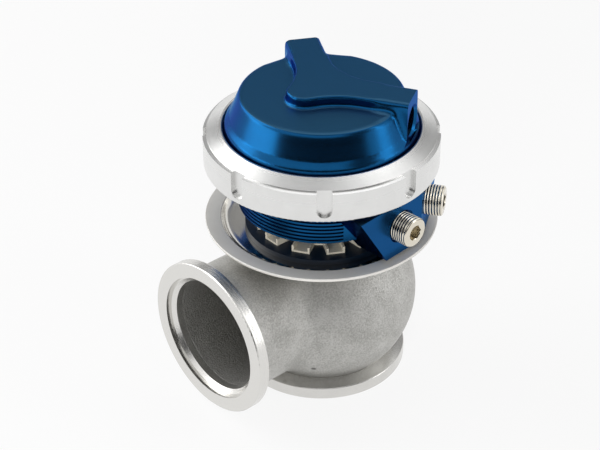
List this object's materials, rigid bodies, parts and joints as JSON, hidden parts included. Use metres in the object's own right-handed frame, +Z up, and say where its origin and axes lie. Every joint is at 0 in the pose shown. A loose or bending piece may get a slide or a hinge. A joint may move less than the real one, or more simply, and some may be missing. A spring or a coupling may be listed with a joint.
{
  "type": "turbo wastegate",
  "caption": "External turbo wastegate: cast valve body with V-band flanges, poppet valve lifted by a sprung diaphragm under a screwed collar and cap.",
  "frame": {"origin": "centre of the inlet flange's lower face, on the valve axis", "axes": "+Z up the valve axis from the inlet flange to the cap; the outlet flange faces -Y"},
  "size_m": [0.082, 0.091, 0.1085],
  "materials": {
    "cast_stainless": "bead-blasted casting",
    "machined_steel": "turned",
    "guide_bronze": "turned bronze",
    "shield_steel": "spun bright stainless sheet",
    "cooler_steel": "pressed stainless sheet",
    "insulator": "pressed fibre",
    "blue_anodised": "blue anodised, satin",
    "collar_aluminium": "turned, clear anodised",
    "nickel_plug": "nickel plated",
    "black_steel": "black oxide",
    "seal_rubber": "moulded",
    "diaphragm_rubber": "fabric-reinforced silicone",
    "piston_aluminium": "machined",
    "spring_steel": "plated wire"
  },
  "bodies": {
    "root": {"valve_body": "cast_stainless", "inlet_flange": "machined_steel", "valve_seat": "machined_steel", "valve_guide": "guide_bronze", "heat_shield": "shield_steel", "insulator_ring": "insulator", "cooler_ring": "cooler_steel", "housing_screws": "black_steel", "lower_housing": "blue_anodised", "front_port_plug": "nickel_plug", "side_port_plug": "nickel_plug", "stem_seal": "seal_rubber", "seal_circlip": "spring_steel", "diaphragm": "diaphragm_rubber", "outer_spring": "spring_steel", "inner_spring": "spring_steel"},
    "valve_stack": {"valve": "machined_steel", "clamp_washer": "piston_aluminium", "piston": "piston_aluminium", "piston_washer": "machined_steel", "stem_nut": "machined_steel"},
    "cap": {"cap": "blue_anodised"},
    "collar": {"locking_collar": "collar_aluminium"}
  },
  "joints": [
    {"name": "valve_stroke", "type": "slide", "parent": "root", "child": "valve_stack", "axis": [0, 0, 1], "range_m": [0, 0.009], "stiffness_N_per_m": 6000, "springref_m": -0.018, "deforming": ["diaphragm", "outer_spring", "inner_spring"]},
    {"name": "cap_rise", "type": "slide", "parent": "root", "child": "cap", "axis": [0, 0, 1], "range_m": [0, 0.0075]},
    {"name": "collar_turn", "type": "hinge", "parent": "cap", "child": "collar", "pos_m": [0, 0, 0.085], "axis": [0, 0, 1], "range_deg": [0, 1801]}
  ],
  "couplings": [
    {"joint": "collar_turn", "follows": "cap_rise", "rad_per_m": 4188.8}
  ]
}
